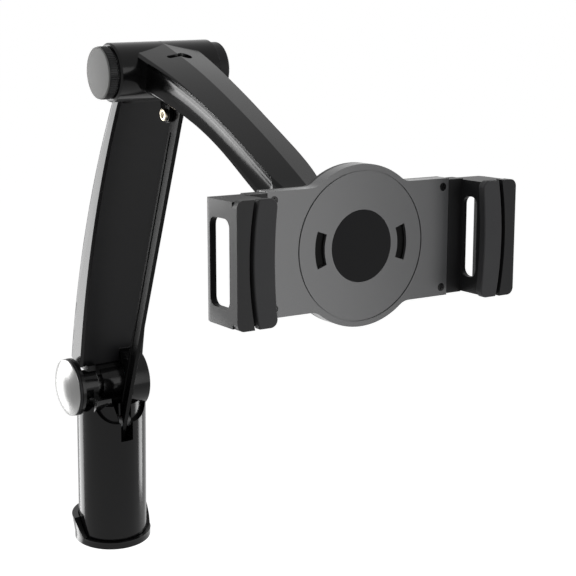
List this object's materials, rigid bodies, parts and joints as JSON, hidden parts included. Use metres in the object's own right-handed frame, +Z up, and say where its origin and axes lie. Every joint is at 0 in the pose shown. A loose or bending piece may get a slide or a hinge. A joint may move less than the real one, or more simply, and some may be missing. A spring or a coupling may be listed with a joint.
{
  "type": "tablet mounting clamp",
  "caption": "Car tablet mount: swivel column, parallel-link arm with tension knob, and a pan-tilt holder whose sprung grips close together through a rack and pinion.",
  "frame": {"origin": "centre of the foot's underside, on the column's axis", "axes": "+Z up the column, -Y toward the user in front of the holder, +X along the hinge axes, away from the knob"},
  "size_m": [0.1594, 0.3127, 0.3342],
  "materials": {
    "black_metal": "satin black coating",
    "black_steel": "satin black coating",
    "black_plastic": "fine matte",
    "plate_plastic": "satin",
    "knob_plastic": "matte, knurled rim",
    "knob_grey": "fine satin",
    "cap_silver": "satin",
    "bright_steel": "zinc plated",
    "nickel": "warm nickel plating",
    "brass": "machined",
    "nylon": "natural nylon",
    "pad_rubber": "matte",
    "centre_rubber": "matte"
  },
  "bodies": {
    "foot": {"foot_cup": "black_metal", "mount_insert": "brass", "swivel_disc": "nylon", "swivel_washer": "bright_steel", "swivel_bolt": "bright_steel"},
    "column": {"column_plug": "nylon", "column_tube": "black_metal", "hinge_head": "black_metal", "head_screws": "bright_steel", "hinge_bolt_lower": "bright_steel", "hinge_nut_lower": "bright_steel", "hinge_cap_disc": "black_plastic", "hinge_cap_dome": "cap_silver", "hinge_washers": "bright_steel", "link_pin_lower": "bright_steel", "link_spacers": "nylon", "slot_screw": "black_steel"},
    "lower_arm": {"lower_arm_casting": "black_metal", "lower_arm_cover": "black_plastic", "cover_screws": "black_steel", "lower_knuckle_bush": "brass", "upper_knuckle_bush": "brass", "upper_thrust_washers": "nylon"},
    "stay_link": {"stay_link": "black_steel"},
    "upper_arm": {"upper_arm_casting": "black_metal", "upper_hinge_bolt": "bright_steel", "end_cap": "black_plastic", "knob_washer": "bright_steel", "link_bolt_upper": "nickel", "link_nut_upper": "bright_steel"},
    "knob": {"tension_knob": "knob_plastic", "knob_face": "knob_grey"},
    "yoke": {"pan_yoke": "black_metal", "pan_pin": "bright_steel"},
    "fork": {"tilt_fork": "black_metal", "tilt_pin": "bright_steel", "tilt_nut": "bright_steel"},
    "holder": {"front_plate": "plate_plastic", "back_cover": "black_plastic", "centre_pad": "centre_rubber", "plate_screws": "black_steel", "pinion_post": "bright_steel", "left_return_spring": "bright_steel", "right_return_spring": "bright_steel"},
    "pinion": {"pinion_gear": "nylon"},
    "left_grip": {"left_grip_frame": "plate_plastic", "left_grip_pad": "pad_rubber"},
    "right_grip": {"right_grip_frame": "plate_plastic", "right_grip_pad": "pad_rubber"}
  },
  "joints": [
    {"name": "base_swivel", "type": "hinge", "parent": "foot", "child": "column", "pos_m": [0, 0, 0.01], "axis": [0, 0, 1], "continuous": true},
    {"name": "lower_arm_tilt", "type": "hinge", "parent": "column", "child": "lower_arm", "pos_m": [0, 0, 0.1094], "axis": [1, 0, 0], "range_deg": [-17.6, 45]},
    {"name": "stay_link_pivot", "type": "hinge", "parent": "column", "child": "stay_link", "pos_m": [0, -0.01498, 0.08625], "axis": [1, 0, 0], "range_deg": [-17.6, 45]},
    {"name": "upper_arm_level", "type": "hinge", "parent": "lower_arm", "child": "upper_arm", "pos_m": [0, -0.06639, 0.31757], "axis": [1, 0, 0], "range_deg": [-45, 17.6]},
    {"name": "knob_turn", "type": "hinge", "parent": "upper_arm", "child": "knob", "pos_m": [0, -0.06639, 0.31757], "axis": [1, 0, 0], "range_deg": [-180, 180]},
    {"name": "holder_pan", "type": "hinge", "parent": "upper_arm", "child": "yoke", "pos_m": [0, -0.229, 0.2615], "axis": [0, 0, 1], "range_deg": [-60, 60]},
    {"name": "holder_tilt", "type": "hinge", "parent": "yoke", "child": "fork", "pos_m": [0, -0.24706, 0.25619], "axis": [1, 0, 0], "range_deg": [-35, 35]},
    {"name": "holder_turn", "type": "hinge", "parent": "fork", "child": "holder", "pos_m": [0, -0.265, 0.2577], "axis": [0, 0.9965, -0.0837], "range_deg": [-180, 180]},
    {"name": "pinion_spin", "type": "hinge", "parent": "holder", "child": "pinion", "pos_m": [0, -0.265, 0.2577], "axis": [0, 0.9965, -0.0837], "range_deg": [-430, 0]},
    {"name": "left_grip_slide", "type": "slide", "parent": "holder", "child": "left_grip", "axis": [-0.9997, 0.0022, 0.0261], "range_m": [0, 0.045], "stiffness_N_per_m": 200, "springref_m": -0.03, "deforming": ["left_return_spring"]},
    {"name": "right_grip_slide", "type": "slide", "parent": "holder", "child": "right_grip", "axis": [0.9997, -0.0022, -0.0261], "range_m": [0, 0.045], "stiffness_N_per_m": 200, "springref_m": -0.03, "deforming": ["right_return_spring"]}
  ],
  "couplings": [
    {"joint": "stay_link_pivot", "follows": "lower_arm_tilt", "ratio": 1},
    {"joint": "upper_arm_level", "follows": "lower_arm_tilt", "ratio": -1},
    {"joint": "pinion_spin", "follows": "left_grip_slide", "rad_per_m": -166.67},
    {"joint": "right_grip_slide", "follows": "left_grip_slide", "ratio": 1}
  ]
}
